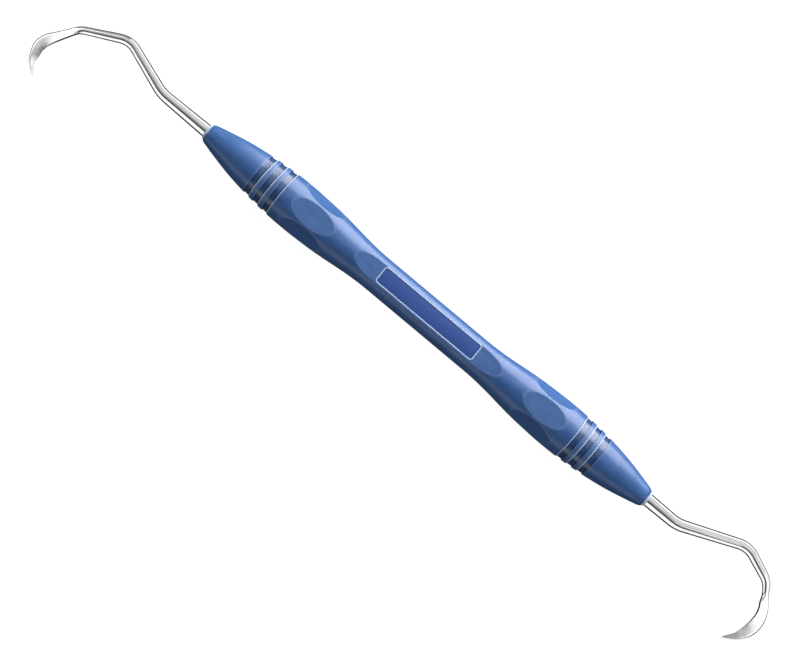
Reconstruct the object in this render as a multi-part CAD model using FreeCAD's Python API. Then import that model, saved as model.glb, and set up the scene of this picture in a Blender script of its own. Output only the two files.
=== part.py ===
"""Double-ended dental hand scaler with a moulded resin handle.

Frame: millimetres. The origin is the middle of the handle, on its axis. +X runs along the
handle towards the short-necked working end, +Y is the side that the necks hump towards, and
+Z is the way the name plate faces. The blades hook back towards -Y.

The handle is resin moulded over a straight steel tube. Each end of the tube takes a turned
bush, and the knurled tang of a forged working end is pressed into the bush. A seal ring closes
each mouth, and a name plate in a pale frame sits in a flat on the waist.
"""

import FreeCAD, Part
import math
import os
from FreeCAD import Vector

# ---- handle: driving dimensions -------------------------------------------------------------
HANDLE_HALF = 54.0  # middle of the handle to each mouth
WAIST_R = 3.60
WAIST_HALF = 12.0  # the waist is a true cylinder this far each way
BULGE_R = 4.90
BULGE_X = 33.0
NOSE_X = 52.7  # where the nose cone turns into the rounded end
NOSE_R = 2.20
NOSE_SLOPE = -0.26
NOSE_ROUND = (53.45, 1.95)  # middle of the rounding, as (distance from the middle, radius)
MOUTH_R = 1.55  # outside radius of the flat end

# Stations between the waist, the bulge and the nose, as (distance from the middle, radius).
FLARE = [(17.0, 3.84), (22.3, 4.41), (27.5, 4.80)]
TAPER = [(38.0, 4.69), (43.3, 4.11), (47.1, 3.49), (50.8, 2.66)]

# ---- grip grooves, three near each end --------------------------------------------------------
GROOVE_FIRST_X = 36.2
GROOVE_PITCH = 2.34
GROOVE_COUNT = 3
GROOVE_WIDTH = 1.20
GROOVE_DEPTH = 0.30
GROOVE_ROOT = 0.10  # rounding of each groove's two lower corners
GROOVE_LIP = 0.10  # rounding of each groove's two upper edges

# ---- finger scoops, six round each bulge ------------------------------------------------------
SCOOP_COUNT = 6
SCOOP_X = 28.3
SCOOP_FLOOR = 4.26  # axis to the deepest line of a scoop
SCOOP_RADIUS = 26.0  # of the cutter, along the handle
SCOOP_TILT = 2.7  # degrees: the scoop leans with the flare
RIM_ROUND = 0.12  # rounding of the scoop and flat rims

# ---- name plate, its frame and the flat that they sit in --------------------------------------
FLAT_Z = 3.01
FLAT_HALF = 12.2  # half the level stretch; the run-outs curve up beyond it
FLAT_RUNOUT = 17.0  # radius of the run-outs
FRAME_LENGTH = 23.5
FRAME_WIDTH = 3.72
FRAME_WALL = 0.24
FRAME_CORNER = 0.70
FRAME_PROUD = 0.06
FRAME_ROUND = 0.024  # rounding of the frame's upper outer edge
POCKET_DEPTH = 0.40
PLATE_SUNK = 0.02  # plate face below the flat
PLATE_OFFSET = 0.12  # the plate and its frame sit this far towards +Y on the flat

# ---- core: tube, bushes, seals ----------------------------------------------------------------
TUBE_R = 2.10
TUBE_BORE_R = 1.60
TUBE_HALF = 46.0
BUSH_HEAD_R = 2.55
BUSH_HEAD_LENGTH = 2.2
BUSH_SPIGOT = 9.0
BUSH_RIBS = 12
BUSH_RIB_DEPTH = 0.22
BUSH_RIB_WIDTH = 0.60
EDGE = 0.20  # plain chamfer on turned steel
TANG_R = 1.00
KNURL_R = 1.10  # crest of the tang's knurl, and the bush bore
KNURL_VALLEY_R = 0.98  # just inside the plain tang, so that the ridges run out into it
KNURL_RIDGES = 16
KNURL_SETBACK = 1.5  # from the tang's tip
KNURL_LENGTH = 6.0
TANG_LENGTH = 9.6
SEAL_R = 1.50
SEAL_LENGTH = 0.98
SEAL_PROUD = 0.18

# ---- working ends -----------------------------------------------------------------------------
NECK_R = 1.35  # where the neck leaves the handle
SHOULDER_X = TUBE_HALF + BUSH_HEAD_LENGTH

# Each working end: its axis as corners (out from the middle, towards +Y, towards +Z) with a
# bend radius at each, the neck's radius at stations along the axis, and the blade as stations
# of (share of the blade's length, depth from cutting face to back, thickness, twist in degrees).
# "heel" is the length of axis from the shoulder to where the neck starts to flatten.
LONG_END = {
    "side": -1,
    "corners": [
        ((SHOULDER_X, 0.0, 0.0), 0.0),
        ((65.2, 0.0, 0.0), 8.0),
        ((76.2, 3.87, 0.0), 4.5),
        ((84.82, -0.68, 0.0), 5.0),
        ((88.90, -7.13, 0.0), 4.6),
        ((87.85, -11.30, -0.4), 3.0),
        ((86.03, -13.06, -0.9), 0.0),
    ],
    "neck": [(0.0, 1.35), (5.8, 1.35), (17.0, 1.12), (26.0, 1.00), (31.0, 0.92), (38.0, 0.76)],
    "heel": 37.5,
    "blade": [
        (0.00, 1.40, 1.40, 0.0),
        (0.15, 1.36, 1.40, 0.0),
        (0.30, 1.66, 1.40, 0.0),
        (0.45, 2.12, 1.36, 4.0),
        (0.57, 2.28, 1.28, 10.0),
        (0.69, 1.94, 1.12, 18.0),
        (0.78, 1.40, 0.92, 28.0),
        (0.84, 0.96, 0.74, 36.0),
        (0.89, 0.74, 0.58, 42.0),
        (0.95, 0.48, 0.38, 45.0),
        (1.00, 0.16, 0.14, 45.0),
    ],
}
SHORT_END = {
    "side": 1,
    "corners": [
        ((SHOULDER_X, 0.0, 0.0), 0.0),
        ((61.4, 0.0, 0.0), 7.0),
        ((74.6, 5.44, 0.0), 4.7),
        ((81.37, 2.64, 0.0), 4.0),
        ((85.84, -4.47, 0.0), 6.5),
        ((83.30, -9.21, -0.3), 4.0),
        ((81.38, -10.90, -0.7), 0.0),
    ],
    "neck": [(0.0, 1.35), (5.8, 1.35), (14.0, 1.22), (27.0, 1.05), (33.0, 0.92), (36.6, 0.68)],
    "heel": 36.6,
    "blade": [
        (0.00, 1.40, 1.36, 0.0),
        (0.08, 1.66, 1.40, 0.0),
        (0.20, 1.74, 1.40, 0.0),
        (0.30, 1.96, 1.38, 0.0),
        (0.44, 2.34, 1.34, 2.0),
        (0.56, 2.36, 1.26, 4.0),
        (0.66, 2.12, 1.12, 6.0),
        (0.77, 1.56, 0.94, 8.0),
        (0.87, 1.06, 0.70, 10.0),
        (0.95, 0.60, 0.42, 10.0),
        (1.00, 0.16, 0.14, 10.0),
    ],
}
BLADE_MORPH = 2.2  # length over which the round neck turns into the ground blade
BACK_SHARE = 0.26  # of the blade's depth that the rounded back takes
BACK_NARROWING = 0.74  # thickness at the ridge, as a share of that at the cutting face
STATION_STEP = 1.1  # spacing of the sections along a working end
POINTS_PER_SIDE = 6  # points that each of a section's four sides is drawn through
FACE_HALF_ANGLE = 40.0  # degrees of the round neck that become the cutting face
BACK_HALF_ANGLE = 50.0  # degrees of the round neck that become the back

X_AXIS = Vector(1, 0, 0)
ORIGIN = Vector(0, 0, 0)


def turned(points):
    """Solid of revolution about X from (x, radius) corners."""
    wire = Part.makePolygon([Vector(x, r, 0) for x, r in points + points[:1]])
    return Part.Face(wire).revolve(ORIGIN, X_AXIS, 360)


def rod(x_from, x_to, radius):
    """Plain cylinder on the handle's axis."""
    return Part.makeCylinder(radius, x_to - x_from, Vector(x_from, 0, 0), X_AXIS)


def both_ends(shape):
    """The same shape mirrored to the -X end."""
    return shape.mirror(ORIGIN, X_AXIS)


# ---- handle -----------------------------------------------------------------------------------
def handle_outline():
    """Upper edges of the handle's half section, from the waist to the mouth."""
    stations = [(WAIST_HALF, WAIST_R)] + FLARE + [(BULGE_X, BULGE_R)] + TAPER + [(NOSE_X, NOSE_R)]
    curve = Part.BSplineCurve()
    curve.interpolate(
        Points=[Vector(x, r, 0) for x, r in stations],
        InitialTangent=Vector(1, 0, 0),
        FinalTangent=Vector(1, NOSE_SLOPE, 0),
    )
    nose = Part.Arc(
        Vector(NOSE_X, NOSE_R, 0),
        Vector(*NOSE_ROUND, 0),
        Vector(HANDLE_HALF, MOUTH_R, 0),
    )
    return [curve.toShape(), nose.toShape()]


def handle_blank():
    """Plain turned handle, with no grooves, scoops or bores."""
    halves = []
    for sign in (1, -1):
        edges = handle_outline()
        edges.insert(0, Part.LineSegment(Vector(0, WAIST_R, 0), Vector(WAIST_HALF, WAIST_R, 0)).toShape())
        edges.append(Part.LineSegment(Vector(HANDLE_HALF, MOUTH_R, 0), Vector(HANDLE_HALF, 0, 0)).toShape())
        edges.append(Part.LineSegment(Vector(HANDLE_HALF, 0, 0), ORIGIN).toShape())
        edges.append(Part.LineSegment(ORIGIN, Vector(0, WAIST_R, 0)).toShape())
        half = Part.Face(Part.Wire(edges)).revolve(ORIGIN, X_AXIS, 360)
        halves.append(half if sign > 0 else both_ends(half))
    return halves[0].fuse(halves[1]).removeSplitter()


def outline_radius(x):
    """Radius of the plain handle at a distance x from the middle."""
    probe = Part.LineSegment(Vector(x, 0, 0), Vector(x, 2 * BULGE_R, 0)).toShape()
    for edge in handle_outline():
        gap, points, _ = edge.distToShape(probe)
        if gap < 1e-6:
            return points[0][0].y
    raise ValueError("no outline at that distance")


def groove_cutter(x):
    """Ring that cuts one grip groove, with a rounded floor."""
    half = GROOVE_WIDTH / 2
    floor = outline_radius(x) - GROOVE_DEPTH
    top = BULGE_R + 1
    soft = GROOVE_ROOT
    lower_left = Part.Arc(
        Vector(x - half, floor + soft, 0),
        Vector(x - half + 0.29 * soft, floor + 0.29 * soft, 0),
        Vector(x - half + soft, floor, 0),
    )
    lower_right = Part.Arc(
        Vector(x + half - soft, floor, 0),
        Vector(x + half - 0.29 * soft, floor + 0.29 * soft, 0),
        Vector(x + half, floor + soft, 0),
    )
    sides = [
        lower_left,
        Part.LineSegment(Vector(x - half + soft, floor, 0), Vector(x + half - soft, floor, 0)),
        lower_right,
        Part.LineSegment(Vector(x + half, floor + soft, 0), Vector(x + half, top, 0)),
        Part.LineSegment(Vector(x + half, top, 0), Vector(x - half, top, 0)),
        Part.LineSegment(Vector(x - half, top, 0), Vector(x - half, floor + soft, 0)),
    ]
    wire = Part.Wire([side.toShape() for side in sides])
    return Part.Face(wire).revolve(ORIGIN, X_AXIS, 360)


def scoop_cutter(angle):
    """Drum that cuts one finger scoop at the +X bulge: level across, hollow along the handle."""
    length = 3 * BULGE_R
    drum = Part.makeCylinder(
        SCOOP_RADIUS,
        length,
        Vector(SCOOP_X, -length / 2, SCOOP_FLOOR + SCOOP_RADIUS),
        Vector(0, 1, 0),
    )
    drum.rotate(Vector(SCOOP_X, 0, SCOOP_FLOOR), Vector(0, 1, 0), -SCOOP_TILT)
    drum.rotate(ORIGIN, X_AXIS, angle)
    return drum


def flat_cutter():
    """Cutter of the plate's flat: level over the waist, curving up and out at both ends."""
    rise = WAIST_R
    reach = math.sqrt(FLAT_RUNOUT**2 - (FLAT_RUNOUT - rise) ** 2)
    end = FLAT_HALF + reach
    steep = math.asin(reach / FLAT_RUNOUT) / 2
    mid = (FLAT_HALF + FLAT_RUNOUT * math.sin(steep), FLAT_Z + FLAT_RUNOUT * (1 - math.cos(steep)))
    depth = 3 * WAIST_R

    def at(x, z):
        return Vector(x, -depth / 2, z)

    sides = [
        Part.LineSegment(at(-FLAT_HALF, FLAT_Z), at(FLAT_HALF, FLAT_Z)),
        Part.Arc(at(FLAT_HALF, FLAT_Z), at(*mid), at(end, FLAT_Z + rise)),
        Part.LineSegment(at(end, FLAT_Z + rise), at(-end, FLAT_Z + rise)),
        Part.Arc(at(-end, FLAT_Z + rise), at(-mid[0], mid[1]), at(-FLAT_HALF, FLAT_Z)),
    ]
    return Part.Face(Part.Wire([side.toShape() for side in sides])).extrude(Vector(0, depth, 0))


def rounded_bar(length, width, corner, z_from, z_to):
    """Upright bar with rounded corners, at the plate's place on the flat."""
    corner_point = Vector(-length / 2, PLATE_OFFSET - width / 2, z_from)
    bar = Part.makeBox(length, width, z_to - z_from, corner_point)
    upright = [e for e in bar.Edges if abs(e.tangentAt(e.FirstParameter).z) > 0.99]
    return bar.makeFillet(corner, upright)


def core_void():
    """Everything inside the handle: tube, bush heads, necks and seals, as one cutter."""
    void = rod(-TUBE_HALF, TUBE_HALF, TUBE_R)
    head = bush_head()
    neck = rod(SHOULDER_X, HANDLE_HALF + 1, NECK_R)
    seat = rod(HANDLE_HALF - SEAL_LENGTH + SEAL_PROUD, HANDLE_HALF + 1, SEAL_R)
    for piece in (head, neck, seat):
        void = void.fuse(piece).fuse(both_ends(piece))
    return void


def rims_on(shape, test):
    """Edges of a shape whose middle passes a test."""
    found = []
    for edge in shape.Edges:
        middle = edge.valueAt(edge.getParameterByLength(edge.Length / 2))
        if test(edge, middle):
            found.append(edge)
    return found


def is_groove_lip(edge, middle):
    """True for the two upper circles of each groove."""
    radius = math.hypot(middle.y, middle.z)
    for k in range(GROOVE_COUNT):
        centre = GROOVE_FIRST_X + k * GROOVE_PITCH
        at_wall = abs(abs(abs(middle.x) - centre) - GROOVE_WIDTH / 2) < 1e-3
        if at_wall and radius > outline_radius(abs(middle.x)) - 1e-3:
            return True
    return False


def is_scoop_rim(edge, middle):
    """True for the closed rim of each finger scoop."""
    return edge.isClosed() and abs(abs(middle.x) - SCOOP_X) < 6.0


def grip_body():
    """Moulded resin handle."""
    body = handle_blank()
    for k in range(GROOVE_COUNT):
        cutter = groove_cutter(GROOVE_FIRST_X + k * GROOVE_PITCH)
        body = body.cut(cutter).cut(both_ends(cutter))
    body = body.makeFillet(GROOVE_LIP, rims_on(body, is_groove_lip))
    for k in range(SCOOP_COUNT):
        cutter = scoop_cutter(k * 360 / SCOOP_COUNT)
        body = body.cut(cutter).cut(both_ends(cutter))
    body = body.makeFillet(RIM_ROUND, rims_on(body, is_scoop_rim))
    body = body.cut(flat_cutter())
    pocket = rounded_bar(FRAME_LENGTH, FRAME_WIDTH, FRAME_CORNER, FLAT_Z - POCKET_DEPTH, FLAT_Z + 1)
    return body.cut(pocket).cut(core_void())


# ---- name plate -------------------------------------------------------------------------------
def plate_frame():
    """Pale frame bedded in the pocket, standing a little proud of the flat."""
    low = FLAT_Z - POCKET_DEPTH
    high = FLAT_Z + FRAME_PROUD
    outer = rounded_bar(FRAME_LENGTH, FRAME_WIDTH, FRAME_CORNER, low, high)
    top = [e for e in outer.Edges if abs(e.BoundBox.ZMin - high) < 1e-6]
    outer = outer.makeFillet(FRAME_ROUND, top)
    inner = rounded_bar(
        FRAME_LENGTH - 2 * FRAME_WALL,
        FRAME_WIDTH - 2 * FRAME_WALL,
        FRAME_CORNER - FRAME_WALL,
        low - 1,
        high + 1,
    )
    return outer.cut(inner)


def name_plate():
    """Plain plate that fills the frame."""
    return rounded_bar(
        FRAME_LENGTH - 2 * FRAME_WALL,
        FRAME_WIDTH - 2 * FRAME_WALL,
        FRAME_CORNER - FRAME_WALL,
        FLAT_Z - POCKET_DEPTH,
        FLAT_Z - PLATE_SUNK,
    )


# ---- core -------------------------------------------------------------------------------------
def core_tube():
    """Straight steel tube that the resin is moulded over."""
    outer = turned(
        [
            (-TUBE_HALF, 0),
            (-TUBE_HALF, TUBE_R),
            (TUBE_HALF, TUBE_R),
            (TUBE_HALF, 0),
        ]
    )
    return outer.cut(rod(-TUBE_HALF - 1, TUBE_HALF + 1, TUBE_BORE_R))


def bush_head():
    """Ribbed head that keys the bush into the resin."""
    head = rod(TUBE_HALF, SHOULDER_X, BUSH_HEAD_R)
    slot = Part.makeBox(
        BUSH_HEAD_LENGTH + 2,
        BUSH_RIB_WIDTH,
        1.0,
        Vector(TUBE_HALF - 1, -BUSH_RIB_WIDTH / 2, BUSH_HEAD_R - BUSH_RIB_DEPTH),
    )
    for k in range(BUSH_RIBS):
        cutter = slot.copy()
        cutter.rotate(ORIGIN, X_AXIS, k * 360 / BUSH_RIBS)
        head = head.cut(cutter)
    return head


def tang_bush():
    """Turned bush: a spigot in the tube, a ribbed head against its end, a bore for the tang."""
    inner_end = TUBE_HALF - BUSH_SPIGOT
    spigot = turned(
        [
            (inner_end, 0),
            (inner_end, TUBE_BORE_R - EDGE),
            (inner_end + EDGE, TUBE_BORE_R),
            (TUBE_HALF, TUBE_BORE_R),
            (TUBE_HALF, 0),
        ]
    )
    return spigot.fuse(bush_head()).cut(rod(inner_end - 1, SHOULDER_X + 1, KNURL_R)).removeSplitter()


def seal_ring():
    """Soft ring that closes the gap between neck and mouth, with a rounded lip."""
    inner_end = HANDLE_HALF - SEAL_LENGTH + SEAL_PROUD
    outer_end = HANDLE_HALF + SEAL_PROUD
    ring = rod(inner_end, outer_end, SEAL_R).cut(rod(inner_end - 1, outer_end + 1, NECK_R))
    lip = [
        e
        for e in ring.Edges
        if abs(e.BoundBox.XMin - outer_end) < 1e-6 and e.BoundBox.YMax > NECK_R + 0.01
    ]
    return ring.makeFillet(0.8 * (SEAL_R - NECK_R), lip)


# ---- working ends -----------------------------------------------------------------------------
def axis_pieces(corners):
    """Straight runs and tangent arcs through a list of (corner, bend radius)."""
    points = [Vector(*point) for point, _ in corners]
    edges = []
    here = points[0]
    for k in range(1, len(points) - 1):
        back = (points[k - 1] - points[k]).normalize()
        ahead = (points[k + 1] - points[k]).normalize()
        half_turn = (math.pi - back.getAngle(ahead)) / 2
        radius = corners[k][1]
        reach = radius * math.tan(half_turn)
        start = points[k] + back * reach
        end = points[k] + ahead * reach
        inward = (back + ahead).normalize()
        middle = points[k] + inward * (radius / math.cos(half_turn) - radius)
        edges.append(Part.LineSegment(here, start).toShape())
        edges.append(Part.Arc(start, middle, end).toShape())
        here = end
    edges.append(Part.LineSegment(here, points[-1]).toShape())
    return edges


def axis_frame(edges, distance):
    """Point and tangent on the axis at a distance along it."""
    for edge in edges:
        if distance <= edge.Length or edge is edges[-1]:
            at = edge.getParameterByLength(min(distance, edge.Length))
            return edge.valueAt(at), edge.tangentAt(at)
        distance -= edge.Length
    raise ValueError("distance is past the end of the axis")


def between(stations, at):
    """Values at a place in a table of stations, changing evenly from one to the next."""
    low = stations[0]
    for high in stations[1:]:
        if at <= high[0]:
            share = (at - low[0]) / (high[0] - low[0])
            return [a + (b - a) * share for a, b in zip(low[1:], high[1:])]
        low = high
    return list(stations[-1][1:])


def ease(share):
    """Smooth step from 0 to 1."""
    share = min(1.0, max(0.0, share))
    return share * share * (3 - 2 * share)


def round_side(from_deg, to_deg, radius):
    """Points on an arc of the neck's round section, as (towards the hook's inside, up)."""
    angles = [from_deg + (to_deg - from_deg) * k / (POINTS_PER_SIDE - 1) for k in range(POINTS_PER_SIDE)]
    return [(radius * math.cos(math.radians(a)), radius * math.sin(math.radians(a))) for a in angles]


def line_points(start, end):
    """Evenly spaced points from one section corner to the next."""
    shares = [k / (POINTS_PER_SIDE - 1) for k in range(POINTS_PER_SIDE)]
    return [(start[0] + (end[0] - start[0]) * s, start[1] + (end[1] - start[1]) * s) for s in shares]


def round_section(radius):
    """The neck's section as four sides: face, upper flank, back, lower flank."""
    turn = 180 - BACK_HALF_ANGLE
    return [
        round_side(-FACE_HALF_ANGLE, FACE_HALF_ANGLE, radius),
        round_side(FACE_HALF_ANGLE, turn, radius),
        round_side(turn, 360 - turn, radius),
        round_side(360 - turn, 360 - FACE_HALF_ANGLE, radius),
    ]


def blade_section(depth, thickness):
    """The ground blade's section: a level cutting face, two flat flanks and a rounded back."""
    face = depth / 2
    ridge = -depth / 2 + BACK_SHARE * depth
    edge = thickness / 2
    shoulder = edge * BACK_NARROWING
    back = []
    for k in range(POINTS_PER_SIDE):
        angle = math.radians(90 + 180 * k / (POINTS_PER_SIDE - 1))
        back.append((ridge + BACK_SHARE * depth * math.cos(angle), shoulder * math.sin(angle)))
    return [
        line_points((face, -edge), (face, edge)),
        line_points((face, edge), (ridge, shoulder)),
        back,
        line_points((ridge, -shoulder), (face, -edge)),
    ]


def section_wire(end, distance, total, edges):
    """Closed wire of the working end's section at a distance along its axis."""
    point, tangent = axis_frame(edges, distance)
    up = Vector(0, 0, 1)
    up = (up - tangent * up.dot(tangent)).normalize()
    inward = up.cross(tangent) * -1
    radius = between(end["neck"], distance)[0]
    share = (distance - end["heel"]) / (total - end["heel"])
    depth, thickness, twist = between(end["blade"], max(0.0, share))
    ground = ease((distance - end["heel"]) / BLADE_MORPH)
    turn = math.radians(twist)
    wanted_in = inward * math.cos(turn) - up * math.sin(turn)
    wanted_up = up * math.cos(turn) + inward * math.sin(turn)
    sides = []
    for soft, hard in zip(round_section(radius), blade_section(depth, thickness)):
        points = []
        for (a0, b0), (a1, b1) in zip(soft, hard):
            a = a0 + (a1 - a0) * ground
            b = b0 + (b1 - b0) * ground
            points.append(point + wanted_in * a + wanted_up * b)
        curve = Part.BSplineCurve()
        curve.interpolate(points)
        sides.append(curve.toShape())
    return Part.Wire(sides)


def tang():
    """Knurled tang behind the shoulder."""
    start = SHOULDER_X - TANG_LENGTH
    plain = turned(
        [
            (start, 0),
            (start, TANG_R - EDGE),
            (start + EDGE, TANG_R),
            (SHOULDER_X, TANG_R),
            (SHOULDER_X, 0),
        ]
    )
    corners = []
    for k in range(2 * KNURL_RIDGES):
        angle = math.pi * k / KNURL_RIDGES
        radius = KNURL_R if k % 2 == 0 else KNURL_VALLEY_R
        corners.append(Vector(start + KNURL_SETBACK, radius * math.cos(angle), radius * math.sin(angle)))
    star = Part.Face(Part.makePolygon(corners + corners[:1]))
    return plain.fuse(star.extrude(Vector(KNURL_LENGTH, 0, 0)))


def working_end(end):
    """Forged working end: tang, neck, bends and ground blade in one piece."""
    edges = axis_pieces(end["corners"])
    total = sum(edge.Length for edge in edges)
    steps = math.ceil(total / STATION_STEP)
    wires = [section_wire(end, total * k / steps, total, edges) for k in range(steps + 1)]
    neck = Part.makeLoft(wires, True, False)
    solid = neck.fuse(tang())
    return both_ends(solid) if end["side"] < 0 else solid


# ---- the pieces and their files ---------------------------------------------------------------
def pieces():
    """Every node's name and solid."""
    bush = tang_bush()
    seal = seal_ring()
    return {
        "grip_body": grip_body(),
        "plate_frame": plate_frame(),
        "name_plate": name_plate(),
        "core_tube": core_tube(),
        "right_tang_bush": bush,
        "left_tang_bush": both_ends(bush),
        "right_seal_ring": seal,
        "left_seal_ring": both_ends(seal),
        "right_working_end": working_end(SHORT_END),
        "left_working_end": working_end(LONG_END),
    }


def main():
    """Writes one STEP file for each piece."""
    os.makedirs("parts", exist_ok=True)
    for name, shape in pieces().items():
        if shape.ShapeType == "Compound" and len(shape.Solids) == 1:
            shape = shape.Solids[0]
        shape.exportStep(os.path.join("parts", name + ".step"))
        box = shape.BoundBox
        print(
            f"{name:20s} solids {len(shape.Solids)} valid {shape.isValid()} volume {shape.Volume:8.2f}"
            f"  x {box.XMin:7.2f} {box.XMax:7.2f}  y {box.YMin:6.2f} {box.YMax:6.2f}"
            f"  z {box.ZMin:6.2f} {box.ZMax:6.2f}"
        )


main()
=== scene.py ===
import math

import bmesh
import bpy
import numpy as np
from bpy.props import FloatProperty, FloatVectorProperty, IntProperty, PointerProperty
from mathutils import Matrix, Vector


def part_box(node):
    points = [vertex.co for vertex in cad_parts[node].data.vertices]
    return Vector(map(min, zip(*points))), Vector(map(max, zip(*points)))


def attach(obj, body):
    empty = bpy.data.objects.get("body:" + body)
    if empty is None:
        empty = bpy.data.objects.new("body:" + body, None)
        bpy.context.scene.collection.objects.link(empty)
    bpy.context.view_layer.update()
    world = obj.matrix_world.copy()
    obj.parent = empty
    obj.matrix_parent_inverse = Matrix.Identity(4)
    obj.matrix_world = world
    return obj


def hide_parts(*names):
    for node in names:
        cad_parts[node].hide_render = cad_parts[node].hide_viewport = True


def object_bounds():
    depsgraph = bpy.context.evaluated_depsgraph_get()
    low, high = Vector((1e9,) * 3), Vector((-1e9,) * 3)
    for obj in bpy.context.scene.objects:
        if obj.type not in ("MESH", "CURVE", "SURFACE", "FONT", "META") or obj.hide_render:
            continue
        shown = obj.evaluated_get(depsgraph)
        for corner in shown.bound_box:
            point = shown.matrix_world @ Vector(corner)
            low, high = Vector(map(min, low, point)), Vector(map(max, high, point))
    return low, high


# The visible pieces of a double-ended dental hand scaler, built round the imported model: a moulded
# resin handle, a name plate in its frame, two seal rings and two forged steel working ends.
# The model's frame holds: +X along the handle to the short-necked end, +Y the side that the necks
# hump towards, +Z the way the plate faces.

bl_info = {
    "name": "Hand scaler",
    "version": (1, 0, 0),
    "blender": (4, 5, 0),
    "location": "3D View > Sidebar > Scaler",
    "description": "Builds the visible pieces, finishes and studio of a dental hand scaler",
    "category": "Add Mesh",
}

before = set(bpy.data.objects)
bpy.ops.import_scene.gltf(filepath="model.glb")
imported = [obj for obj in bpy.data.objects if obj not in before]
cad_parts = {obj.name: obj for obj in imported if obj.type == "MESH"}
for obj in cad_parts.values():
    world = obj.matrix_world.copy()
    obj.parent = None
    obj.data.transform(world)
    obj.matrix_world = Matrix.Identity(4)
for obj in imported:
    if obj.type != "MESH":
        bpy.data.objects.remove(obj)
CAD_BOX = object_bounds()
MM = 0.001

HANDLE_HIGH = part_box("grip_body")[1]
FRAME_LOW, FRAME_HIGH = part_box("plate_frame")
PLATE_LOW, PLATE_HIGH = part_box("name_plate")
SEAL_LOW, SEAL_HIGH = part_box("right_seal_ring")
TUBE_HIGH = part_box("core_tube")[1]
BUSH_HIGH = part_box("right_tang_bush")[1]

# ---- handle shape, in millimetres ----
# Stations of the handle's outline, as (distance from the middle, radius).
WAIST_HALF = 12.0
WAIST_RADIUS = 3.60
STATIONS = [(WAIST_HALF, WAIST_RADIUS), (17.0, 3.84), (22.3, 4.41), (27.5, 4.80), (33.0, 4.90),
            (38.0, 4.69), (43.3, 4.11), (47.1, 3.49), (50.8, 2.66), (52.7, 2.20)]
NOSE_SLOPE = -0.26
NOSE_ROUND = (53.45, 1.95)
MOUTH_R = 1.55
NECK_R = 1.35
SKIN_R = WAIST_RADIUS - 0.5  # points nearer the axis belong to a nose, a mouth or the void

# Stretches of the handle as (from, to, spacing of the rings of faces).
RING_SPANS = [(0.0, 10.8, 1.2), (10.8, 12.0, 0.1), (12.0, 18.0, 0.25), (18.0, 23.0, 0.5),
              (23.0, 33.6, 0.2)]
BULGE_STEP = 0.5  # spacing from the last of them to the first groove
NOSE_STEP = 0.6  # spacing from the last groove to the nose

GROOVE_FIRST_X = 36.2
GROOVE_PITCH = 2.34
GROOVE_COUNT = 3
GROOVE_LEAD = 0.1  # from the last ring of faces to the first groove's lip
GROOVE_ROOT = 0.04
GROOVE_SHADE = 0.55  # share of painted shade and gloss on a groove's floor, where its walls have 1
GROOVE_WALL = 0.6  # share of a groove's half-width where the floor ends and the wall starts
SHADE_RAMP = (1.3, 0.2)  # gain and start of the painted shade that deepens with depth in a groove
OUTER_LIP = 0.04  # rounding of the lip on each groove's outer side
LIP_WEAR_AND_HIGHLIGHT = (1.0, 0.06)  # pale colour of a groove's inner and outer lip: edge wear with a painted highlight
LIP_BAND = (0.35, 0.75, 0.8)  # middle, half-width and depth of that wear and painted highlight, in inner lips
MOUTH_PAINTED_HIGHLIGHT = (1.80, 0.9)  # radius where a mouth's painted highlight starts, and how far it goes
RIM_WEAR_AND_HIGHLIGHT = 0.09  # pale colour on the rims of scoops and flat: edge wear with a painted highlight
WEAR_AND_HIGHLIGHT_REACH = 0.07  # depth over which a rim's wear and painted highlight fades

SCOOP_COUNT = 6
SCOOP_X = 28.3
SCOOP_RADIUS = 26.0
SCOOP_TILT = math.radians(2.7)
SCOOP_REACH = 6.0  # half the stretch of handle that a scoop can touch

FLAT_Z = 3.01
FLAT_HALF = 12.2
FLAT_RUNOUT = 17.0
FLAT_REACH = 18.2  # the flat has left the handle at this distance from the middle

# ---- working ends, in millimetres ----
# The axis of each end as corners with a bend radius, the neck's radius at stations along it, and
# the blade as (share of its length, depth from face to back, thickness, twist in degrees).
LONG_END = {
    "node": "left_working_end",
    "side": -1,
    "corners": [((65.2, 0.0, 0.0), 8.0), ((76.2, 3.87, 0.0), 4.5), ((84.82, -0.68, 0.0), 5.0),
                ((88.90, -7.13, 0.0), 4.6), ((87.85, -11.30, -0.4), 3.0)],
    "toe": (86.03, -13.06, -0.9),
    "neck": [(0.0, 1.35), (5.8, 1.35), (17.0, 1.12), (26.0, 1.00), (31.0, 0.92), (38.0, 0.76)],
    "heel": 37.5,
    "blade": [(0.00, 1.40, 1.40, 0.0), (0.15, 1.36, 1.40, 0.0), (0.30, 1.66, 1.40, 0.0),
              (0.45, 2.12, 1.36, 4.0), (0.57, 2.28, 1.28, 10.0), (0.69, 1.94, 1.12, 18.0),
              (0.78, 1.40, 0.92, 28.0), (0.84, 0.96, 0.74, 36.0), (0.89, 0.74, 0.58, 42.0),
              (0.95, 0.48, 0.38, 45.0), (1.00, 0.16, 0.14, 45.0)],
}
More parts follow.
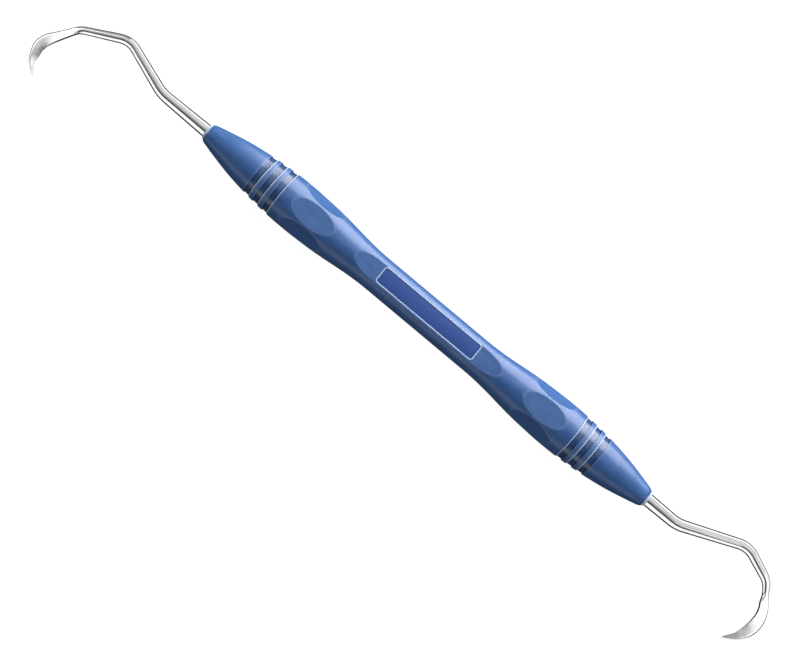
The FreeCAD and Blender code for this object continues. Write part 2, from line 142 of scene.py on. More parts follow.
SHORT_END = {
    "node": "right_working_end",
    "side": 1,
    "corners": [((61.4, 0.0, 0.0), 7.0), ((74.6, 5.44, 0.0), 4.7), ((81.37, 2.64, 0.0), 4.0),
                ((85.84, -4.47, 0.0), 6.5), ((83.30, -9.21, -0.3), 4.0)],
    "toe": (81.38, -10.90, -0.7),
    "neck": [(0.0, 1.35), (5.8, 1.35), (14.0, 1.22), (27.0, 1.05), (33.0, 0.92), (36.6, 0.68)],
    "heel": 36.6,
    "blade": [(0.00, 1.40, 1.36, 0.0), (0.08, 1.66, 1.40, 0.0), (0.20, 1.74, 1.40, 0.0),
              (0.30, 1.96, 1.38, 0.0), (0.44, 2.34, 1.34, 2.0), (0.56, 2.36, 1.26, 4.0),
              (0.66, 2.12, 1.12, 6.0), (0.77, 1.56, 0.94, 8.0), (0.87, 1.06, 0.70, 10.0),
              (0.95, 0.60, 0.42, 10.0), (1.00, 0.16, 0.14, 10.0)],
}
BLADE_MORPH = 2.2
BACK_SHARE = 0.26
BACK_NARROWING = 0.74
SIDE_POINTS = (12, 16, 20, 16)  # points on the face, upper flank, back and lower flank
FACE_HALF_ANGLE = math.radians(40)
BACK_HALF_ANGLE = math.radians(50)
SWEEP_STEP = 0.25
TANG_LENGTH = 9.6
TANG_R = 1.00
TANG_TIP = (0.80, 0.2)  # the tip's radius and the length of its taper
KNURL_R = 1.10
KNURL_RAMP = 0.1  # length over which the ridges rise
KNURL_SPAN = (1.5, 7.5)  # from the tang's tip
KNURL_EVERY = 4  # points of the section from one ridge to the next

# ---- seal rings, in millimetres ----
SEAL_SEGMENTS = 96
SEAL_LIP = 0.8  # rounding of the outer lip, as a share of the ring's wall

# ---- studio, in metres and degrees ----
PANEL_REACH = 0.5  # handle to each panel beside it
END_PANEL_REACH = 0.6
END_PANEL_LEAN = 66  # outwards from straight up
END_PANEL_SIZE = (0.40, 0.28)  # height and width

# Panels that light the handle, plate, seals and floor, as (setting for the brightness, angles,
# stretch along X).
HANDLE_PANELS = [
    ("key", (41, 100), (-0.20, 0.31)),
    ("top", (0, 38), (-0.28, 0.28)),
    ("side", (-90, -66), (-0.5, 0.5)),
]

# Panels that light one working end, as (outward lean, size, share of the steel's brightness).
TIP_PANELS = {
    "left": [(48, (0.38, 0.50), 1.0), (-40, (0.38, 0.50), 0.5), (8.3, (0.09, 0.16), 0.6)],
    "right": [(48, (0.38, 0.50), 1.0), (-40, (0.38, 0.50), 1.0), (24, (0.13, 0.16), 0.6)],
}

# Panels that light the steel alone, as (angles, stretch along X, share of the steel's brightness).
STEEL_PANELS = [
    ((-106, -45), (-0.8, 0.8), 1.0),
    ((-40, -10), (-0.8, 0.8), 0.05),
    ((-10, 16), (-0.8, 0.8), 0.32),
    ((16, 52), (-0.8, 0.8), 0.66),
    ((57, 104), (-0.22, 1.2), 1.0),
    ((57, 104), (-0.7, -0.22), 0.26),
]

# The studio floor's outline, as (distance from the middle, height over the middle).
FLOOR_OUTLINE = [(0.0, 0.0), (1.2, 0.0), (2.4, 0.0), (2.7, 0.05), (2.9, 0.2), (3.0, 0.5), (3.0, 3.0)]
FLOOR_SHADES = (0.19, 0.21)  # darkest and palest grey of the floor
FLOOR_GLOW = 0.97  # light that the floor gives off itself

ROOM_COLOUR = (0.9, 0.95, 1.0, 1.0)
CAMERA_AIM = Vector((-1.737, -5.94, 0)) * MM  # what the middle of the picture looks at


# ---- settings ----
def length(name, description, default):
    """A size in metres that the panel shows as a length."""
    return FloatProperty(name=name, description=description, default=default, subtype="DISTANCE",
                         unit="LENGTH", precision=5)


def colour(name, description, default):
    """A linear RGB colour that the panel shows as a swatch."""
    return FloatVectorProperty(name=name, description=description, default=default, size=3,
                               subtype="COLOR", min=0.0, max=1.0)


def factor(name, description, default):
    """A share between 0 and 1."""
    return FloatProperty(name=name, description=description, default=default, min=0.0, max=1.0,
                         subtype="FACTOR")


def brightness(name, description, default):
    """A light's brightness, never below 0."""
    return FloatProperty(name=name, description=description, default=default, min=0.0)


def angle(name, description, degrees):
    """An angle, given in degrees, that the panel shows as one."""
    return FloatProperty(name=name, description=description, default=math.radians(degrees),
                         subtype="ANGLE")


class HandleSettings(bpy.types.PropertyGroup):
    """Sizes and colour of the moulded handle."""

    segments: IntProperty(name="Segments", description="Faces round the handle", default=224, min=48)
    bulge_radius: length("Bulge radius", "Largest radius of the handle", HANDLE_HIGH.z)
    groove_width: length("Groove width", "Width of a grip groove", 1.20 * MM)
    groove_depth: length("Groove depth", "Depth of a grip groove", 0.22 * MM)
    groove_lip: length("Groove lip", "Rounding of a groove's inner lip", 0.17 * MM)
    scoop_floor: length("Scoop floor", "Handle's axis to the deepest line of a scoop", 4.26 * MM)
    rim: length("Rim softness", "Depth over which the rims of scoops and flat are eased", 0.030 * MM)
    resin: colour("Resin", "Colour of the handle's resin", (0.050, 0.137, 0.366))
    resin_deep: colour("Deep resin", "Colour of the resin's darker mottling", (0.036, 0.105, 0.298))
    # pale edge colour: partly edge wear, partly a painted highlight on the lips, mouths and rims
    rubbed_and_highlit: colour("Rubbed resin", "Colour of the resin's rubbed edges", (0.78, 0.88, 1.0))
    # painted shade: a dark colour laid along the grooves, darkest on their walls
    groove: colour("Groove", "Colour of the resin along the grooves' walls", (0.009, 0.028, 0.100))
    roughness: factor("Roughness", "Roughness of the moulded skin", 0.36)
    groove_roughness: factor("Groove roughness", "Roughness inside the grooves", 0.25)


class PlateSettings(bpy.types.PropertyGroup):
    """Sizes and colours of the name plate and its frame."""

    wall: length("Frame wall", "Width of the frame's visible line", 0.24 * MM)
    corner: length("Corner radius", "Outer corner radius of the frame", 0.70 * MM)
    edge: length("Edge rounding", "Rounding of the frame's and plate's upper edges", 0.045 * MM)
    plate: colour("Plate", "Colour of the plate", (0.026, 0.078, 0.330))
    border: colour("Frame", "Colour of the frame", (0.52, 0.68, 0.92))


class SteelSettings(bpy.types.PropertyGroup):
    """Finish of the steel and of the seals."""

    steel: colour("Steel", "Colour of polished stainless steel", (0.80, 0.80, 0.81))
    neck_roughness: factor("Neck roughness", "Roughness of the polished necks", 0.085)
    blade: colour("Blade", "Colour of the ground blades", (0.92, 0.92, 0.93))
    blade_roughness: factor("Blade roughness", "Roughness of the ground blades", 0.27)
    turned: colour("Turned steel", "Colour of the turned tube and bushes", (0.56, 0.56, 0.57))
    seal: colour("Seal", "Colour of the seal rings", (0.62, 0.74, 0.92))


class StudioSettings(bpy.types.PropertyGroup):
    """Lights, floor and camera."""

    key: brightness("Key", "Brightness of the low key light", 6.7)
    top: brightness("Top", "Brightness of the overhead panel", 0.9)
    side: brightness("Side", "Brightness of the side panel", 1.2)
    ends: brightness("Ends", "Brightness of the panels past each end", 1.5)
    steel: brightness("Steel", "Brightness of the steel's own panels", 1.3)
    world: brightness("World", "Brightness of the room", 0.05)
    distance: length("Camera distance", "Camera to the middle of the picture", 0.375)
    width: length("Picture width", "Width that the picture spans at the handle", 0.15062)
    tilt: angle("Tilt", "Lean of the camera towards -Y", 5.6)
    roll: angle("Roll", "Turn of the picture round the line of sight", 39.905)


# ---- shared helpers ----
def smooth_object(name, bm, material):
    """Turns a bmesh into a smooth-shaded object of one material."""
    for face in bm.faces:
        face.smooth = True
    mesh = bpy.data.meshes.new(name)
    bm.to_mesh(mesh)
    bm.free()
    mesh.materials.append(material)
    made = bpy.data.objects.new(name, mesh)
    bpy.context.scene.collection.objects.link(made)
    return made


def finish_piece(name, bm, node, material, sharp):
    """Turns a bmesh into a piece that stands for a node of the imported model, and is shaded smooth
    except over edges that turn by more than `sharp` degrees."""
    for edge in bm.edges:
        edge.smooth = not (len(edge.link_faces) == 2 and edge.calc_face_angle() > math.radians(sharp))
    piece = smooth_object(name, bm, material)
    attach(piece, "root")
    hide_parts(node)
    return piece


def tidy(bm):
    """Merges doubles and turns every face outwards."""
    bmesh.ops.remove_doubles(bm, verts=bm.verts, dist=1e-8)
    bmesh.ops.recalc_face_normals(bm, faces=bm.faces)


def turned_shell(points, segments):
    """A closed outline of (x, radius) in metres, turned once round the X axis."""
    bm = bmesh.new()
    verts = [bm.verts.new((x, 0.0, r)) for x, r in points]
    edges = [bm.edges.new((verts[k - 1], verts[k])) for k in range(len(verts))]
    bmesh.ops.spin(bm, geom=verts + edges, cent=(0, 0, 0), axis=(1, 0, 0), angle=2 * math.pi,
                   steps=segments, use_merge=True, use_duplicate=False)
    tidy(bm)
    return bm


def ease(share):
    """Smooth step from 0 to 1."""
    share = min(1.0, max(0.0, share))
    return share * share * (3 - 2 * share)


def lower_of(a, b, softness):
    """The smaller of two heights, with the crossing rounded off."""
    share = min(1.0, max(0.0, 0.5 + 0.5 * (b - a) / softness))
    return b + (a - b) * share - softness * share * (1 - share)


def between(stations, at):
    """Values at a place in a table of stations."""
    low = stations[0]
    for high in stations[1:]:
        if at <= high[0]:
            share = max(0.0, (at - low[0]) / (high[0] - low[0]))
            return [a + (b - a) * share for a, b in zip(low[1:], high[1:])]
        low = high
    return list(stations[-1][1:])


# ---- handle ----
def station_slopes():
    """Slopes at the handle's stations that make its outline one even curve."""
    count = len(STATIONS)
    gaps = [STATIONS[k + 1][0] - STATIONS[k][0] for k in range(count - 1)]
    rises = [(STATIONS[k + 1][1] - STATIONS[k][1]) / gaps[k] for k in range(count - 1)]
    matrix, wanted = np.eye(count), np.zeros(count)
    wanted[-1] = NOSE_SLOPE
    for k in range(1, count - 1):
        matrix[k, k - 1:k + 2] = gaps[k], 2 * (gaps[k - 1] + gaps[k]), gaps[k - 1]
        wanted[k] = 3 * (gaps[k] * rises[k - 1] + gaps[k - 1] * rises[k])
    return [float(slope) for slope in np.linalg.solve(matrix, wanted)]


SLOPES = station_slopes()


def barrel_radius(x, largest):
    """Radius of the plain handle at a distance from its middle, in millimetres."""
    if x <= WAIST_HALF:
        return WAIST_RADIUS
    for (x0, r0), (x1, r1), m0, m1 in zip(STATIONS, STATIONS[1:], SLOPES, SLOPES[1:]):
        if x <= x1:
            gap = x1 - x0
            t = (x - x0) / gap
            radius = (r0 * (1 + 2 * t) * (1 - t) ** 2 + m0 * gap * t * (1 - t) ** 2
                      + r1 * t * t * (3 - 2 * t) + m1 * gap * t * t * (t - 1))
            return min(radius, largest)
    return STATIONS[-1][1]


def arc_points(centre, radius, start, end, steps):
    """Points on an arc in the (x, radius) plane, from one angle to another."""
    angles = [start + (end - start) * k / steps for k in range(steps + 1)]
    return [(centre[0] + radius * math.cos(a), centre[1] + radius * math.sin(a)) for a in angles]


def groove_outline(centre, settings):
    """Outline of one grip groove: a soft inner lip, rounded roots and a crisp outer lip."""
    half, lip = settings.groove_width / MM / 2, settings.groove_lip / MM
    largest, depth = settings.bulge_radius / MM, settings.groove_depth / MM
    left, right = centre - half, centre + half
    quarter, root = math.pi / 2, GROOVE_ROOT
    near = barrel_radius(left - lip, largest)
    far = barrel_radius(right + OUTER_LIP, largest)
    inner, outer = (barrel_radius(x, largest) - depth + root for x in (left, right))
    floor = [(x, barrel_radius(x, largest) - depth) for x in (centre - half / 2, centre + half / 2)]
    return (
        arc_points((left - lip, near - lip), lip, quarter, 0, 5)
        + arc_points((left + root, inner), root, math.pi, 3 * quarter, 3)
        + floor
        + arc_points((right - root, outer), root, -quarter, 0, 3)
        + arc_points((right + OUTER_LIP, far - OUTER_LIP), OUTER_LIP, math.pi, quarter, 3)
    )


def lip_wear_and_highlight(x, radius, settings):
    """How much pale colour a point of the outline gets from its nearness to a groove's lip or a mouth:
    edge wear with a painted highlight on the lips, a painted highlight on the mouths.
    """
    # the mouth's rounding is given a painted highlight
    if x > NOSE_ROUND[0] and radius < MOUTH_PAINTED_HIGHLIGHT[0]:
        return MOUTH_PAINTED_HIGHLIGHT[1]
    half, lip = settings.groove_width / MM / 2, settings.groove_lip / MM
    middle, reach, deepest = (share * lip for share in LIP_BAND)
    if barrel_radius(x, settings.bulge_radius / MM) - radius > deepest:
        return 0.0
    for k in range(GROOVE_COUNT):
        centre = GROOVE_FIRST_X + k * GROOVE_PITCH
        inner, outer = centre - half - middle, centre + half + OUTER_LIP / 2
        if abs(x - inner) < reach:
            return LIP_WEAR_AND_HIGHLIGHT[0] * ease(2 * (1 - abs(x - inner) / reach))
        if abs(x - outer) < OUTER_LIP:
            return LIP_WEAR_AND_HIGHLIGHT[1]
    return 0.0


def groove_shade_and_gloss_share(x, radius, settings):
    """How much painted shade a point of the outline gets from lying in a groove, most of all along its
    walls; the same share makes the groove glossier.
    """
    half = settings.groove_width / MM / 2
    index = round((x - GROOVE_FIRST_X) / GROOVE_PITCH)
    aside = abs(x - GROOVE_FIRST_X - index * GROOVE_PITCH)
    if not 0 <= index < GROOVE_COUNT or aside > half + OUTER_LIP:
        return 0.0
    below = barrel_radius(x, settings.bulge_radius / MM) - radius
    gain, start = SHADE_RAMP
    share = ease(gain * below / (settings.groove_depth / MM) - start)
    return share if aside > GROOVE_WALL * half else GROOVE_SHADE * share


def spread(start, end, step):
    """Evenly spaced places after the start, up to and including the end."""
    count = max(1, round((end - start) / step))
    return [start + (end - start) * (k + 1) / count for k in range(count)]


def nose_points():
    """Rounding from the nose cone to the flat of the mouth, as a curve through three points."""
    start, middle = Vector(STATIONS[-1]), Vector(NOSE_ROUND)
    end = Vector((HANDLE_HIGH.x / MM, MOUTH_R))
    control = 2 * middle - (start + end) / 2
    shares = [k / 8 for k in range(1, 9)]
    return [tuple(start * (1 - t) ** 2 + control * 2 * t * (1 - t) + end * t * t) for t in shares]


def half_outline(settings):
    """The handle's outline from its middle to the +X mouth, as (x, radius) in millimetres."""
    largest = settings.bulge_radius / MM
    places = [0.0]
    for start, end, step in RING_SPANS:
        places += spread(start, end, step)
    half, lip = settings.groove_width / MM / 2, settings.groove_lip / MM
    grooves = [GROOVE_FIRST_X + k * GROOVE_PITCH for k in range(GROOVE_COUNT)]
    places += spread(places[-1], grooves[0] - half - lip - GROOVE_LEAD, BULGE_STEP)
    points = [(x, barrel_radius(x, largest)) for x in places]
    for centre in grooves:
        points += groove_outline(centre, settings)
        land = centre + GROOVE_PITCH / 2
        points.append((land, barrel_radius(land, largest)))
    last = points[-1][0]
    points += [(x, barrel_radius(x, largest)) for x in spread(last, STATIONS[-1][0], NOSE_STEP)]
    return points + nose_points()


def void_outline():
    """The handle's inner outline from the +X mouth to the middle, in millimetres."""
    seat_r, seat_x = SEAL_HIGH.z / MM, SEAL_LOW.x / MM
    head_r, shoulder = BUSH_HIGH.z / MM, BUSH_HIGH.x / MM
    tube_r, tube_end = TUBE_HIGH.z / MM, TUBE_HIGH.x / MM
    return [(HANDLE_HIGH.x / MM, seat_r), (seat_x, seat_r), (seat_x, NECK_R), (shoulder, NECK_R),
            (shoulder, head_r), (tube_end, head_r), (tube_end, tube_r), (0.0, tube_r)]


def flat_height(x):
    """Height of the plate's flat: level over the waist, curving up at both ends."""
    past = max(0.0, abs(x) - FLAT_HALF)
    return FLAT_Z + FLAT_RUNOUT - math.sqrt(max(0.0, FLAT_RUNOUT**2 - past**2))


def scoop_height(x, floor):
    """Height of a scoop's surface over the handle's axis."""
    centre_x = SCOOP_X - SCOOP_RADIUS * math.sin(SCOOP_TILT)
    centre_z = floor + SCOOP_RADIUS * math.cos(SCOOP_TILT)
    return centre_z - math.sqrt(SCOOP_RADIUS**2 - (x - centre_x) ** 2)


def rim_wear_and_highlight(above):
    """How much pale colour a rim gets, edge wear with a painted highlight, from a point's height over
    the surface that cuts it.
    """
    return RIM_WEAR_AND_HIGHLIGHT * max(0.0, 1 - abs(above) / WEAR_AND_HIGHLIGHT_REACH)


def carve_scoops(point, floor, rim):
    """A point of the handle's skin moved down onto the scoops, and how much wear and painted highlight
    it gets at a rim.
    """
    x = abs(point.x)
    wear = 0.0
    if abs(x - SCOOP_X) > SCOOP_REACH:
        return point, wear
    surface = scoop_height(x, floor)
    for k in range(SCOOP_COUNT):
        turn = Matrix.Rotation(2 * math.pi * k / SCOOP_COUNT, 3, "X")
        turned = turn @ point
        wear = max(wear, rim_wear_and_highlight(turned.z - surface))
        if turned.z > surface - rim:
            turned.z = lower_of(turned.z, surface, rim)
            point = turn.transposed() @ turned
    return point, wear


def pocket_depth(point, settings):
    """How far inside the frame's middle line a point lies, in millimetres, negative outside."""
    centre, half = (FRAME_LOW + FRAME_HIGH) / MM / 2, (FRAME_HIGH - FRAME_LOW) / MM / 2
    wall, corner = settings.wall / MM / 2, settings.corner / MM
    past_x = max(0.0, abs(point.x - centre.x) - (half.x - corner))
    past_y = max(0.0, abs(point.y - centre.y) - (half.y - corner))
    return corner - wall - math.hypot(past_x, past_y)


def build_handle(handle, plate):
    """The handle's skin and inner void as one closed shell."""
    half = half_outline(handle) + void_outline()[:-1]
    tube_r = TUBE_HIGH.z / MM
    loop = half + [(0.0, tube_r)] + [(-x, r) for x, r in reversed(half)][:-1]
    bm = turned_shell([(x * MM, r * MM) for x, r in loop], handle.segments)
    floor, rim = handle.scoop_floor / MM, handle.rim / MM
    # pale colour on the lips, mouths and rims: edge wear with painted highlights
    wear_and_highlight = bm.verts.layers.float.new("wear_and_highlight")
    # painted shade along the grooves, darkest on the walls; the same mask makes the grooves glossier
    groove_shade_and_gloss = bm.verts.layers.float.new("groove_shade_and_gloss")
    for vert in bm.verts:
        point = vert.co / MM
        radius = math.hypot(point.y, point.z)
        vert[wear_and_highlight] = lip_wear_and_highlight(abs(point.x), radius, handle)
        if radius < SKIN_R:
            continue
        vert[groove_shade_and_gloss] = groove_shade_and_gloss_share(abs(point.x), radius, handle)
        point, rubbed_and_highlit = carve_scoops(point, floor, rim)
        level = flat_height(point.x) if abs(point.x) < FLAT_REACH else math.inf
        vert[wear_and_highlight] = max(vert[wear_and_highlight], rubbed_and_highlit, rim_wear_and_highlight(point.z - level))
        if point.z > level - rim:
            point.z = lower_of(point.z, level, rim)
            if pocket_depth(point, plate) > 0:
                point.z = FRAME_LOW.z / MM
        vert.co = point * MM
    return bm


# ---- name plate ----
def rounded_block(low, high, corner):
    """A block with upright rounded corners between two corners of a box."""
    bm = bmesh.new()
    size = high - low
    place = Matrix.Translation((low + high) / 2) @ Matrix.Diagonal((*size, 1.0))
    bmesh.ops.create_cube(bm, size=1.0, matrix=place)
    upright = [e for e in bm.edges if abs(e.verts[0].co.z - e.verts[1].co.z) > size.z / 2]
    bmesh.ops.bevel(bm, geom=upright, offset=corner, offset_type="OFFSET", segments=10, profile=0.5,
                    affect="EDGES", material=-1)
    return bm


def ease_top(bm, height, rounding):
    """Rounds the edges that lie at a height and border an upright face."""
    bm.normal_update()
    level = [e for e in bm.edges if all(abs(v.co.z - height) < 1e-7 for v in e.verts)]
    rims = [e for e in level if any(abs(f.normal.z) < 0.5 for f in e.link_faces)]
    bmesh.ops.bevel(bm, geom=rims, offset=rounding, offset_type="OFFSET", segments=3, profile=0.5,
                    affect="EDGES", material=-1)
    tidy(bm)


def build_frame(plate):
    """The pale frame: an upright ring with rounded upper edges."""
    bm = rounded_block(FRAME_LOW, FRAME_HIGH, plate.corner)
    caps = [f for f in bm.faces if abs(f.normal.z) > 0.9]
    bmesh.ops.inset_individual(bm, faces=caps, thickness=plate.wall, use_even_offset=True)
    bmesh.ops.delete(bm, geom=caps, context="FACES_ONLY")
    bmesh.ops.bridge_loops(bm, edges=[e for e in bm.edges if e.is_boundary])
    tidy(bm)
    ease_top(bm, FRAME_HIGH.z, plate.edge)
    return bm


def build_plate(plate):
    """The plain plate inside the frame, with eased upper edges."""
    bm = rounded_block(PLATE_LOW, PLATE_HIGH, plate.corner - plate.wall)
    ease_top(bm, PLATE_HIGH.z, plate.edge)
    return bm


# ---- seal rings ----
def build_seal(side):
    """A soft ring round the neck at one mouth, with a rounded outer lip."""
    outer, inner = SEAL_HIGH.z / MM, NECK_R
    start, end = SEAL_LOW.x / MM, SEAL_HIGH.x / MM
    lip = SEAL_LIP * (outer - inner)
    points = [(start, inner), (start, outer)]
    points += arc_points((end - lip, outer - lip), lip, math.pi / 2, 0, 6)
    points += [(end, inner)]
    return turned_shell([(side * x * MM, r * MM) for x, r in points], SEAL_SEGMENTS)


# ---- working ends ----
def sweep_axis(end):
    """Stations along a working end's axis as (distance, point, tangent), past the shoulder."""
    points = [Vector((BUSH_HIGH.x / MM, 0, 0))] + [Vector(c) for c, _ in end["corners"]]
    points.append(Vector(end["toe"]))
    stations = []
    travelled, here = 0.0, points[0]
    for k in range(1, len(points) - 1):
        back = (points[k - 1] - points[k]).normalized()
        ahead = (points[k + 1] - points[k]).normalized()
        half_turn = (math.pi - back.angle(ahead)) / 2
        radius = end["corners"][k - 1][1]
        start = points[k] + back * radius * math.tan(half_turn)
        run = (start - here).length
        for along in [0.0] + spread(0.0, run, SWEEP_STEP):
            stations.append((travelled + along, here - back * along, -back))
        travelled += run
        centre = points[k] + (back + ahead).normalized() * radius / math.cos(half_turn)
        arm, axis = start - centre, (-back).cross(ahead).normalized()
        bend = 2 * half_turn * radius
        for along in spread(0.0, bend, SWEEP_STEP)[:-1]:
            turn = Matrix.Rotation(along / radius, 3, axis)
            stations.append((travelled + along, centre + turn @ arm, turn @ -back))
        travelled += bend
        here = centre + Matrix.Rotation(bend / radius, 3, axis) @ arm
    run = (points[-1] - here).length
    last = (points[-1] - here).normalized()
    for along in [0.0] + spread(0.0, run, SWEEP_STEP):
        stations.append((travelled + along, here + last * along, last))
    return stations


def round_section(radius):
    """Round section as (towards the hook's inside, up), in the order of the ground section."""
    face, back = FACE_HALF_ANGLE, math.pi - BACK_HALF_ANGLE
    corners = (-face, face, back, 2 * math.pi - back, 2 * math.pi - face)
    section = []
    for start, stop, count in zip(corners, corners[1:], SIDE_POINTS):
        angles = [start + (stop - start) * k / count for k in range(count)]
        section += [(radius * math.cos(a), radius * math.sin(a)) for a in angles]
    return section


def ground_section(depth, thickness):
    """The ground blade's section: a cutting face, two flanks and a rounded back."""
    face, ridge = depth / 2, -depth / 2 + BACK_SHARE * depth
    edge, shoulder = thickness / 2, thickness / 2 * BACK_NARROWING
    face_count, flank_count, back_count, _ = SIDE_POINTS
    section = [(face, -edge + 2 * edge * k / face_count) for k in range(face_count)]
    shares = [k / flank_count for k in range(flank_count)]
    section += [(face + (ridge - face) * t, edge + (shoulder - edge) * t) for t in shares]
    for k in range(back_count):
        angle = math.pi / 2 + math.pi * k / back_count
        section.append((ridge + BACK_SHARE * depth * math.cos(angle), shoulder * math.sin(angle)))
    section += [(ridge + (face - ridge) * t, -shoulder + (shoulder - edge) * t) for t in shares]
    return section


def knurled_section(radius, crest):
    """The tang's section: a round one with a low ridge on every few points."""
    count = sum(SIDE_POINTS)
    section = []
    for k in range(count):
        reach = crest if k % KNURL_EVERY == 0 else radius
        angle = -FACE_HALF_ANGLE + 2 * math.pi * k / count
        section.append((reach * math.cos(angle), reach * math.sin(angle)))
    return section


def tang_stations():
    """The tang behind the shoulder, as (distance along the axis, section)."""
    start = -TANG_LENGTH
    knurl_from, knurl_to = (start + x for x in KNURL_SPAN)
    tip_r, taper = TANG_TIP
    tip, plain = knurled_section(tip_r, tip_r), knurled_section(TANG_R, TANG_R)
    ridged = knurled_section(TANG_R, KNURL_R)
    return [(start, tip), (start + taper, plain), (knurl_from, plain), (knurl_from + KNURL_RAMP, ridged),
            (knurl_to - KNURL_RAMP, ridged), (knurl_to, plain), (0.0, plain)]


def section_places(end):
    """Every ring of a working end, as (distance, list of points, share of ground finish)."""
    x_axis, up_axis = Vector((1, 0, 0)), Vector((0, 0, 1))
    shoulder = Vector((BUSH_HIGH.x / MM, 0, 0))
    rings = []
    for distance, section in tang_stations():
        centre = shoulder + x_axis * distance
        rings.append((distance, [centre + Vector((0, -a, b)) for a, b in section], 0.0))
    stations = sweep_axis(end)
    total = stations[-1][0]
    for distance, centre, tangent in stations:
        up = (up_axis - tangent * up_axis.dot(tangent)).normalized()
        inward = tangent.cross(up)
        radius = between(end["neck"], distance)[0]
        share = (distance - end["heel"]) / (total - end["heel"])
        depth, thickness, twist = between(end["blade"], share)
        ground = ease((distance - end["heel"]) / BLADE_MORPH)
        turn = math.radians(twist)
        lean_in = inward * math.cos(turn) - up * math.sin(turn)
        lean_up = up * math.cos(turn) + inward * math.sin(turn)
        ring = []
        for (a0, b0), (a1, b1) in zip(round_section(radius), ground_section(depth, thickness)):
            a, b = a0 + (a1 - a0) * ground, b0 + (b1 - b0) * ground
            ring.append(centre + lean_in * a + lean_up * b)
        rings.append((distance, ring, ground))
    return rings


def build_working_end(end):
    """A working end as one closed sweep, from the tang's tip to the blade's toe."""
    bm = bmesh.new()
    place = bm.verts.layers.int.new("place")
    grind = bm.verts.layers.float.new("ground")
    travel = bm.verts.layers.float.new("travel")
    count = sum(SIDE_POINTS)
    side = end["side"]
    rings = section_places(end)
    bmesh.ops.create_circle(bm, cap_ends=True, segments=count, radius=MM)
    bm.verts.ensure_lookup_table()
    for k, vert in enumerate(bm.verts):
        vert[place] = k
    edges = list(bm.edges)
    verts = list(bm.verts)
    for index, (distance, ring, ground) in enumerate(rings):
        if index:
            made = bmesh.ops.extrude_edge_only(bm, edges=edges)["geom"]
            edges = [g for g in made if isinstance(g, bmesh.types.BMEdge) and len(g.link_faces) == 1]
            verts = [g for g in made if isinstance(g, bmesh.types.BMVert)]
        for vert in verts:
            point = ring[vert[place]]
            vert.co = Vector((side * point.x, point.y, point.z)) * MM
            vert[grind] = ground
            vert[travel] = distance
    bmesh.ops.holes_fill(bm, edges=edges, sides=count)
    bmesh.ops.recalc_face_normals(bm, faces=bm.faces)
    uv = bm.loops.layers.uv.new("sweep")
    for face in bm.faces:
        wraps = max(v[place] for v in face.verts) - min(v[place] for v in face.verts) > count / 2
        for loop in face.loops:
            around = loop.vert[place]
            if wraps and around < count / 2:
                around += count
            loop[uv].uv = (loop.vert[travel], around / count)
    return bm


# ---- finishes ----
class Finish:
    """A material with its node tree and shader, and short ways to add nodes to it."""

    def __init__(self, name):
        self.material = bpy.data.materials.new(name)
        self.material.use_nodes = True
        self.tree = self.material.node_tree
        self.shader = self.tree.nodes["Principled BSDF"]
        self.place = self.add("ShaderNodeTexCoord").outputs["Object"]

    def add(self, kind, **values):
        """Adds a node and sets its properties."""
        node = self.tree.nodes.new(kind)
        for name, value in values.items():
            setattr(node, name, value)
        return node

    def link(self, output, target):
        """Joins an output to an input."""
        self.tree.links.new(output, target)

    def uniform(self, **values):
        """Sets values that are the same all over, straight on the shader."""
        for name, value in values.items():
            self.shader.inputs[name.replace("_", " ")].default_value = value

    def stretched(self, source, scale):
        """Coordinates scaled along each axis."""
        mapping = self.add("ShaderNodeMapping")
        mapping.inputs["Scale"].default_value = scale
        self.link(source, mapping.inputs["Vector"])
        return mapping.outputs["Vector"]

    def noise(self, source, scale, detail=3.0, rough=0.5):
        """Noise of a given scale."""
        node = self.add("ShaderNodeTexNoise")
        node.inputs["Scale"].default_value = scale
        node.inputs["Detail"].default_value = detail
        node.inputs["Roughness"].default_value = rough
        self.link(source, node.inputs["Vector"])
        return node.outputs["Fac"]

    def remap(self, source, low, high, start=0.3, stop=0.7):
        """Maps a signal from the span between start and stop to the one between low and high."""
        node = self.add("ShaderNodeMapRange")
        node.inputs["From Min"].default_value = start
        node.inputs["From Max"].default_value = stop
        node.inputs["To Min"].default_value = low
        node.inputs["To Max"].default_value = high
        self.link(source, node.inputs["Value"])
        return node.outputs["Result"]

    def feed(self, source, target):
        """Gives an input a node's output, a number or a colour."""
        if isinstance(source, bpy.types.NodeSocket):
            self.link(source, target)
        else:
            target.default_value = source if isinstance(source, float) else (*source, 1.0)

    def blend(self, share, low, high):
        """A colour between two, each a plain colour or a node's output."""
        node = self.add("ShaderNodeMix", data_type="RGBA")
        self.link(share, node.inputs[0])
        self.feed(low, node.inputs[6])
        self.feed(high, node.inputs[7])
        return node.outputs[2]

    def blend_numbers(self, share, low, high):
        """A number between two, each a plain number or a node's output."""
        node = self.add("ShaderNodeMix", data_type="FLOAT")
        self.link(share, node.inputs[0])
        self.feed(low, node.inputs[2])
        self.feed(high, node.inputs[3])
        return node.outputs[0]

    def mottled(self, signal, colour, darkest):
        """A colour that a signal darkens in places, down to a share of it."""
        darker = [darkest * channel for channel in colour]
        return self.blend(self.remap(signal, 0.0, 1.0), darker, colour)

    def bump(self, height, strength, distance, below=None):
        """Surface relief from a height signal."""
        node = self.add("ShaderNodeBump")
        node.inputs["Strength"].default_value = strength
        node.inputs["Distance"].default_value = distance
        self.link(height, node.inputs["Height"])
        if below is not None:
            self.link(below, node.inputs["Normal"])
        return node.outputs["Normal"]

    def attribute(self, name):
        """A number stored on the mesh's points."""
        return self.add("ShaderNodeAttribute", attribute_name=name).outputs["Fac"]

    def varied(self, **outputs):
        """Takes values that change over the surface from outputs."""
        for name, output in outputs.items():
            self.link(output, self.shader.inputs[name.replace("_", " ")])


